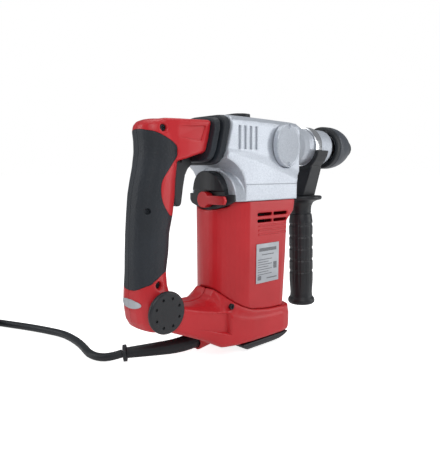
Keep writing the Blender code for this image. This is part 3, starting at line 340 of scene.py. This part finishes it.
def detail(piece, node, look=None):
    """A small extra piece that moves with a CAD node and shares its slot."""
    piece.data.materials.clear()
    piece.data.materials.append(look or LOOKS[SLOT_OF[node]])
    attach(piece, BODY_OF[node])


def apply_modifiers(piece):
    graph = bpy.context.evaluated_depsgraph_get()
    made = bpy.data.meshes.new_from_object(piece.evaluated_get(graph))
    piece.modifiers.clear()
    piece.data = made


def solid_copy(name, nodes):
    """One object holding the CAD nodes' surfaces."""
    bm = bmesh.new()
    for node in nodes:
        source = frame["nodes"][node]
        mesh = source.data.copy()
        mesh.transform(source.matrix_world)
        bm.from_mesh(mesh)
        bpy.data.meshes.remove(mesh)
    mesh = bpy.data.meshes.new(name)
    bm.to_mesh(mesh)
    bm.free()
    piece = bpy.data.objects.new(name, mesh)
    bpy.context.collection.objects.link(piece)
    return piece


def ease(piece, voxel, rounds):
    """Rebuilds a solid on a fine grid and rounds its edges, as a casting or a moulding has them."""
    grid = piece.modifiers.new("grid", "REMESH")
    grid.mode = "VOXEL"
    grid.voxel_size = voxel * MM
    soft = piece.modifiers.new("soft", "SMOOTH")
    soft.factor = 0.5
    soft.iterations = rounds
    apply_modifiers(piece)
    piece.data.shade_smooth()
    return piece


def moulded(node, voxel, rounds, cutters=()):
    """An eased stand-in for one CAD node, with crisp cuts made after the easing."""
    piece = ease(solid_copy(node + "_fine", [node]), voxel, rounds)
    for cutter in cutters:
        boolean(piece, cutter, "DIFFERENCE")
    crease(piece)
    return settle(piece, node)


def boolean(piece, tool, operation):
    step = piece.modifiers.new("step", "BOOLEAN")
    step.object = tool
    step.operation = operation
    step.solver = "EXACT"
    apply_modifiers(piece)
    bpy.data.objects.remove(tool, do_unlink=True)


def crease(piece):
    piece.data.shade_smooth()
    piece.data.set_sharp_from_angle(angle=CREASE_ANGLE)


def duplicate(piece, name):
    made = piece.copy()
    made.data = piece.data.copy()
    made.name = name
    bpy.context.collection.objects.link(made)
    return made


def prism(name, outline, axis, low, high):
    """A closed prism in millimetres, whose outline gives the other two axes in order."""
    def place(a, b, c):
        return Vector({"x": (c, a, b), "y": (a, c, b), "z": (a, b, c)}[axis]) * MM
    return from_rings(name, [[place(a, b, c) for a, b in outline] for c in (low, high)])


def rod(name, radius, low, high, axis, centre, sides=24):
    outline = [(centre[0] + radius * math.cos(2 * math.pi * i / sides),
                centre[1] + radius * math.sin(2 * math.pi * i / sides)) for i in range(sides)]
    return prism(name, outline, axis, low, high)


def from_rings(name, rings, joined=False):
    """A closed surface through rings, with flat ends or, if joined, with its last ring on its first."""
    bm = bmesh.new()
    rows = [[bm.verts.new(point) for point in ring] for ring in (rings[:-1] if joined else rings)]
    count = len(rings[0])
    if joined:
        rows.append(rows[0])
    for low, high in zip(rows[:-1], rows[1:], strict=True):
        for i in range(count):
            j = (i + 1) % count
            bm.faces.new((low[i], low[j], high[j], high[i]))
    if not joined:
        bm.faces.new(rows[0])
        bm.faces.new(rows[-1])
    bmesh.ops.recalc_face_normals(bm, faces=bm.faces)
    mesh = bpy.data.meshes.new(name)
    bm.to_mesh(mesh)
    bm.free()
    mesh.shade_smooth()
    mesh.set_sharp_from_angle(angle=math.radians(50.0))
    piece = bpy.data.objects.new(name, mesh)
    bpy.context.collection.objects.link(piece)
    return piece


def rounded_profile(points, radius):
    """(along, across) points in millimetres with every corner rounded."""
    made = [points[0]]
    for before, here, after in zip(points[:-2], points[1:-1], points[2:], strict=True):
        a, b, c = Vector(before), Vector(here), Vector(after)
        cut = min(radius, (a - b).length * 0.45, (c - b).length * 0.45)
        start, end = b + (a - b).normalized() * cut, b + (c - b).normalized() * cut
        for i in range(CORNER_STEPS + 1):
            t = i / CORNER_STEPS
            made.append(tuple(start * (1 - t) ** 2 + b * 2 * t * (1 - t) + end * t ** 2))
    made.append(points[-1])
    return made


def turned(name, profile, place, sides=96, wave=None):
    """Turns a profile of (along, radius) in millimetres, which place puts into the frame."""
    rings = []
    for along, radius in profile:
        ring = []
        for i in range(sides):
            turn = 2 * math.pi * i / sides
            reach = radius + (wave(along, turn) if wave else 0.0)
            ring.append(place(along, reach * math.cos(turn), reach * math.sin(turn)) * MM)
        rings.append(ring)
    return from_rings(name, rings, profile[0] == profile[-1])


def along_drill(along, a, b):
    return Vector((along, a, DRILL_AXIS_Z + b))


# ---------------------------------------------------------------- cord

CORD_ROUTE = (
    (-0.1435, 0.0385, 0.0096), (-0.1510, 0.0435, 0.0072), (-0.1585, 0.0510, 0.0053),
    (-0.1630, 0.0610, 0.0047), (-0.1640, 0.0760, 0.0046), (-0.1600, 0.0940, 0.0046),
    (-0.1566, 0.1130, 0.0046), (-0.1548, 0.1370, 0.0046), (-0.1560, 0.1580, 0.0046),
    (-0.1625, 0.1800, 0.0046), (-0.1700, 0.2000, 0.0046), (-0.1790, 0.2210, 0.0046),
    (-0.1895, 0.2430, 0.0046), (-0.2005, 0.2663, 0.0046),
)
TAIL_ROUTE = (
    (-0.3270, 0.2360, 0.0046), (-0.3275, 0.2280, 0.0046), (-0.3275, 0.2210, 0.0046),
    (-0.3275, 0.2133, 0.0046),
)


def smooth_path(points, step):
    """Even points along a Catmull-Rom curve through the given points."""
    path = [Vector(p) for p in points]
    path = [2 * path[0] - path[1], *path, 2 * path[-1] - path[-2]]
    fine = []
    pieces = 24
    for a, b, c, d in zip(path[:-3], path[1:-2], path[2:-1], path[3:], strict=True):
        for i in range(pieces):
            t = i / pieces
            fine.append(0.5 * (2 * b + (c - a) * t + (2 * a - 5 * b + 4 * c - d) * t * t
                               + (3 * b - 3 * c + d - a) * t ** 3))
    fine.append(path[-2])
    return even(fine, step)


def length_of(points):
    return sum((b - a).length for a, b in zip(points[:-1], points[1:], strict=True))


def even(points, step):
    """The same line with points a step apart."""
    total = length_of(points)
    count = max(2, round(total / step))
    made = [points[0]]
    gone, at = 0.0, 0
    for i in range(1, count):
        want = total * i / count
        while gone + (points[at + 1] - points[at]).length < want:
            gone += (points[at + 1] - points[at]).length
            at += 1
        piece = (points[at + 1] - points[at])
        made.append(points[at] + piece * ((want - gone) / piece.length))
    made.append(points[-1])
    return made


def coil_turns():
    """(radius, height) of each turn: in on the floor, out above it, in again on top."""
    outer = COIL_MID_R + 2 * CORD_R - 0.0002
    pitch = 2 * CORD_R + 0.0001
    radii = (outer, outer - pitch, outer - 2 * pitch)
    turns = []
    for level in range(3):
        height = CORD_R + 0.0001 + pitch * 0.98 * level
        turns += [(radius, height) for radius in (radii if level % 2 == 0 else reversed(radii))]
    return turns


def coil_points(entry, spare):
    """The laid turns, until the spare length is used and the cord can run off at the left."""
    turns = coil_turns()
    start = math.atan2(entry.y - COIL_CENTRE.y, entry.x - COIL_CENTRE.x) + COIL_LAY_ANGLE
    points = [entry]
    laid, turn = 0.0, start
    while True:
        index = int((turn - start) / (2 * math.pi))
        radius, height = turns[min(index, len(turns) - 1)]
        ahead = turns[min(index + 1, len(turns) - 1)]
        share = ((turn - start) % (2 * math.pi)) / (2 * math.pi)
        shift = max(0.0, (share - COIL_CHANGE) / (1.0 - COIL_CHANGE))
        blend = shift * shift * (3 - 2 * shift)
        radius += (ahead[0] - radius) * blend
        height += (ahead[1] - height) * blend
        point = COIL_CENTRE + Vector((radius * math.cos(turn), radius * math.sin(turn), height))
        laid += (point - points[-1]).length
        points.append(point)
        turn += COIL_STEP
        if laid > spare and (COIL_END - turn) % (2 * math.pi) < COIL_STEP:
            return points[1:]


def make_cord(plug):
    run = smooth_path(CORD_ROUTE, 0.004)
    tail = smooth_path(TAIL_ROUTE, 0.004)
    spare = CORD_LENGTH - length_of(run) - length_of(tail) - COIL_SLACK
    line = even(ease_line(run + coil_points(run[-1], spare) + tail), 0.005)
    cord = bpy.data.curves.new("mains_cord", "CURVE")
    cord.dimensions = "3D"
    cord.bevel_depth = CORD_R
    cord.bevel_resolution = 6
    cord.use_fill_caps = True
    spline = cord.splines.new("POLY")
    spline.points.add(len(line) - 1)
    for knot, point in zip(spline.points, line, strict=True):
        knot.co = (*point, 1.0)
    spline.use_smooth = True
    piece = bpy.data.objects.new("mains_cord", cord)
    bpy.context.collection.objects.link(piece)
    settle(piece, "power_cord", "cord_coil", "cord_tail", look=SMOOTH_RUBBER)


def ease_line(points):
    """Takes small kinks out of a line, ends fixed."""
    line = [p.copy() for p in points]
    for _ in range(3):
        inner = [(a + 2 * b + c) / 4 for a, b, c in zip(line[:-2], line[1:-1], line[2:], strict=True)]
        line = [line[0], *inner, line[-1]]
    return line


# ---------------------------------------------------------------- fine pieces

MOULDED = (
    # node, voxel in millimetres, rounds of smoothing
    ("selector_hood", 0.5, 6),
    ("mode_lever", 0.45, 7),
    ("trigger", 0.5, 8),
    ("base_cap", 0.7, 10),
    ("aux_bracket", 0.6, 7),
    ("top_knob", 0.5, 4),
    ("gearbox_side_cap", 0.45, 4),
    ("pivot_cap_left", 0.4, 4),
)
RUBBER_REGION = (
    (-175.0, 97.0), (-150.0, 95.5), (-138.0, 101.0), (-126.0, 106.5), (-100.0, 112.0), (-100.0, 163.0),
    (-117.0, 164.0), (-124.5, 171.0), (-129.5, 180.0), (-131.0, 191.0), (-128.8, 201.0),
    (-120.5, 212.0), (-113.0, 221.5), (-110.7, 229.5), (-113.5, 236.5), (-124.0, 243.0),
    (-142.0, 249.5), (-175.0, 251.0),
)


def make_moulded():
    for node, voxel, rounds in MOULDED:
        moulded(node, voxel, rounds)
    bellows = moulded("handle_bellows", 0.6, 5)
    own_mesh(bellows)
    spring = settle(solid_copy("damping_spring_fine", ["damping_spring"]), "damping_spring")
    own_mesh(spring)


def eased_outline(points):
    """A closed outline with its corners rounded by a smooth curve."""
    count = len(points)
    made = []
    for i in range(count):
        a, b, c, d = (Vector(points[(i + k) % count]) for k in (-1, 0, 1, 2))
        for step in range(6):
            t = step / 6
            made.append(tuple(0.5 * (2 * b + (c - a) * t + (2 * a - 5 * b + 4 * c - d) * t * t
                                     + (3 * b - 3 * c + d - a) * t ** 3)))
    return made


def shrunk(outline, by):
    """An outline moved inwards by a distance."""
    area = sum(a[0] * b[1] - b[0] * a[1] for a, b in zip(outline, outline[1:] + outline[:1], strict=True))
    sign = -1.0 if area > 0 else 1.0
    made = []
    for i, point in enumerate(outline):
        along = (Vector(outline[(i + 1) % len(outline)]) - Vector(outline[i - 1])).normalized()
        made.append(tuple(Vector(point) + Vector((along.y, -along.x)) * sign * by))
    return made


def make_handle():
    """One eased handle body, parted along the rubber's edge and the middle seam."""
    blank = ease(solid_copy("handle_blank", ["handle_shell_right", "handle_shell_left", "grip_rubber_right",
                                             "grip_rubber_left"]), 1.0, 14)
    region = eased_outline(list(RUBBER_REGION))
    for height in (124.5, 118.0, 111.5, 105.0):
        finger_groove = rod("groove", 1.7, -13.0, 13.0, "y", (-126.7 + 0.1 * height, height))
        boolean(blank, finger_groove, "DIFFERENCE")
    panel = [(-119.0, 254.3), (-75.0, 256.5), (-81.0, 241.2), (-111.5, 244.0)]
    for low, high in ((PANEL_HALF, FLANK), (-FLANK, -PANEL_HALF)):
        boolean(blank, prism("panel", panel, "y", low, high), "DIFFERENCE")
    pin_hole = rod("pin hole", 5.5, -FLANK, FLANK, "y", PIVOT.xz, 48)
    boolean(blank, pin_hole, "DIFFERENCE")
    shell = duplicate(blank, "shell")
    boolean(shell, prism("inside", region, "y", -FLANK, FLANK), "DIFFERENCE")
    rubber = blank
    boolean(rubber, prism("outside", shrunk(region, RUBBER_GAP), "y", -FLANK, FLANK), "INTERSECT")
    boolean(rubber, rod("screw room", 3.1, -FLANK, -15.0, "y", (-145.5, 170.0)), "DIFFERENCE")
    big = [(-250.0, 0.0), (0.0, 0.0), (0.0, 320.0), (-250.0, 320.0)]
    for side, low, high in (("right", -FLANK, -HANDLE_SEAM_HALF), ("left", HANDLE_SEAM_HALF, FLANK)):
        for whole, node in ((shell, "handle_shell_"), (rubber, "grip_rubber_")):
            piece = duplicate(whole, node + side + "_fine")
            boolean(piece, prism("half", big, "y", low, high), "INTERSECT")
            crease(piece)
            settle(piece, node + side)
    for whole in (shell, rubber):
        bpy.data.objects.remove(whole, do_unlink=True)


def foot_recess(side):
    """The wedge-shaped recess in the foot's flank."""
    floor = [(-104.0, 29.6, 61.0), (-52.5, 33.6, 51.5), (-52.5, 33.6, 31.0), (-104.0, 29.6, 44.0)]
    mouth = [(-112.0, 44.0, 68.0), (-48.5, 44.0, 55.5), (-48.5, 44.0, 24.0), (-112.0, 44.0, 37.0)]
    rings = [[Vector((x, side * y, z)) * MM for x, y, z in ring] for ring in (floor, mouth)]
    return from_rings("recess", rings)


def make_castings():
    bottom, top = CASTING_SEAM_Z - CASTING_SEAM_HALF, CASTING_SEAM_Z + CASTING_SEAM_HALF
    seam = [(-38.0, bottom), (62.0, bottom), (62.0, top), (-38.0, top)]
    cutters = [prism("seam", seam, "y", *sorted((side * 40.5, side * FLANK))) for side in (-1, 1)]
    for side in (-1, 1):
        low, high = sorted((side * 37.0, side * FLANK))
        for i in range(4):
            left = -40.5 + 8.8 * i
            slot = [(left, 233.5), (left + 2.8, 233.5), (left + 2.8, 258.5), (left, 258.5)]
            cutters.append(prism("slot", slot, "y", low, high))
    moulded("gearbox_housing", 0.8, 6, cutters)
    moulded("motor_housing", 0.8, 9)
    moulded("foot_shell_right", 1.0, 12, [foot_recess(-1)])
    moulded("foot_shell_left", 1.0, 12, [foot_recess(1)])


def make_vent_ribs():
    """Low ribs on each flank under the vents."""
    for side, name in ((-1, "right"), (1, "left")):
        for i in range(3):
            centre = (side * 39.7, 147.0 - 5.0 * i)
            detail(rod("vent_rib_" + name + "_" + str(i), 1.2, -9.0, 39.0, "x", centre), "motor_housing")


def make_pivot_cap():
    face = -26.3
    profile = [(face, 0.05), (face, 20.5), (face - 2.5, 22.0), (face - 4.6, 22.0), (face - 6.0, 20.3),
               (face - 6.0, 0.05)]

    def across(along, a, b):
        return PIVOT + Vector((a, along, b))

    cap = turned("pivot_cap_right_fine", rounded_profile(profile, 0.9), across)
    for i in range(8):
        turn = 2 * math.pi * (i + 0.5) / 8
        centre = (PIVOT.x + 15.2 * math.cos(turn), PIVOT.z + 15.2 * math.sin(turn))
        boolean(cap, rod("dimple", 1.55, face - 9.0, face - 4.6, "y", centre), "DIFFERENCE")
    crease(cap)
    settle(cap, "pivot_cap_right")


def make_boot():
    """The strain relief with four slots across its upper side."""
    boot = ease(solid_copy("cord_boot_fine", ["cord_boot"]), 0.5, 7)
    for x, y in ((-86.0, 1.6), (-92.5, 4.2), (-99.0, 8.0), (-105.5, 12.2)):
        slot = [(x - 1.1, y - 4.6), (x + 1.1, y - 4.6), (x + 1.1, y + 4.6), (x - 1.1, y + 4.6)]
        boolean(boot, prism("slot", slot, "z", 21.3 + (x + 86.0) * 0.16, 40.0), "DIFFERENCE")
    crease(boot)
    settle(boot, "cord_boot", look=SMOOTH_RUBBER)


def make_label_print():
    """Plain bars in place of print."""
    bars = [(-8.5, 21.5, 117.0, 121.0), (-4.0, 17.0, 112.5, 113.6)]
    bars += [(-10.5, 8.0 if row % 2 else 14.0, 107.0 - 2.9 * row, 107.9 - 2.9 * row) for row in range(7)]
    bars += [(16.5, 22.5, 95.0, 103.0), (-10.5, -4.5, 83.5, 88.5), (5.0, 23.0, 84.0, 85.4)]
    for i, (left, right, low, high) in enumerate(bars):
        rings = []
        for z in (low, high):
            face = -39.2 - 1.3 * (z - 50.0) / 126.0 - 0.8
            rings.append([Vector(point) * MM for point in ((left, face, z), (right, face, z),
                                                           (right, face - 0.06, z), (left, face - 0.06, z))])
        detail(from_rings("label_bar_" + str(i), rings), "rating_label", LABEL_INK)


def make_chuck():
    sleeve = [(170.0, 20.0), (170.0, 28.8), (171.6, 29.4), (178.0, 29.3), (186.0, 28.2), (194.0, 26.0),
              (202.0, 22.6), (203.0, 21.7), (204.2, 21.4), (208.5, 19.0), (213.0, 16.4), (213.0, 14.9),
              (202.0, 14.9), (199.0, 20.0), (170.0, 20.0)]
    settle(turned("chuck_sleeve_fine", rounded_profile(sleeve, 1.4), along_drill), "chuck_sleeve")
    band = [(161.5, 24.8), (161.5, 28.0), (162.7, 29.2), (168.4, 29.4), (169.7, 28.4), (169.7, 24.8),
            (161.5, 24.8)]
    settle(turned("chuck_ring_fine", rounded_profile(band, 0.8), along_drill), "chuck_ring",
           look=SMOOTH_RUBBER)
    cap = [(213.8, 12.0), (213.8, 15.6), (217.5, 14.4), (221.8, 12.4), (224.0, 10.6), (224.0, 6.0),
           (221.9, 6.0), (221.9, 12.0), (213.8, 12.0)]
    settle(turned("dust_cap_fine", rounded_profile(cap, 0.7), along_drill), "dust_cap", look=SMOOTH_RUBBER)


def make_side_handle():
    up = Matrix.Translation((0.0, 0.0, DRILL_AXIS_Z))
    tilt = up @ Matrix.Rotation(AUX_TILT, 4, "X") @ up.inverted()

    def down(along, a, b):
        return tilt @ Vector((AUX_X + a, b, along))

    def about_drill(along, a, b):
        return tilt @ along_drill(along, a, b)

    band = [(116.5, 24.3), (116.5, 26.3), (130.0, 26.3), (130.0, 24.3), (116.5, 24.3)]
    settle(turned("aux_band_fine", rounded_profile(band, 0.5), about_drill), "aux_band")
    profile = [(150.0, 4.4), (176.0, 4.4), (176.0, 26.6), (174.8, 28.2), (172.0, 28.2), (170.6, 26.8),
               (169.4, 21.0), (167.0, 16.8), (162.0, 14.4), (156.0, 13.8), (153.2, 14.1), (152.6, 13.6),
               (151.8, 13.6), (151.2, 14.7), (143.0, 15.8)]
    for groove in (137.0, 121.0, 105.0, 89.0, 73.0):
        profile += [(groove + 2.4, 16.1), (groove + 1.0, 15.2), (groove - 1.0, 15.2), (groove - 2.4, 16.1)]
    profile += [(60.0, 16.0), (43.0, 14.9), (37.5, 15.4), (35.0, 17.6), (32.0, 18.4), (29.5, 18.0),
                (27.5, 16.0), (27.0, 0.05)]

    def flutes(along, turn):
        """The depth of the fine flutes, which run out towards both ends of the grip."""
        ends = min(max((along - 44.0) / 6.0, 0.0), 1.0) * min(max((146.0 - along) / 6.0, 0.0), 1.0)
        return -GRIP_FLUTE_DEPTH * ends * max(0.0, math.cos(turn * GRIP_FLUTES)) ** 6

    grip = turned("aux_grip_fine", rounded_profile(profile, 0.8), down, 144, flutes)
    settle(grip, "aux_grip")


make_camera()
make_studio()
make_cord(moulded("power_plug", 0.6, 8))
make_moulded()
make_castings()
make_handle()
make_vent_ribs()
make_pivot_cap()
make_boot()
make_label_print()
make_chuck()
make_side_handle()

for node, part in frame["nodes"].items():
    part.data.materials.clear()
    part.data.materials.append(DARK_STEEL if "screw" in node else LOOKS[SLOT_OF[node]])
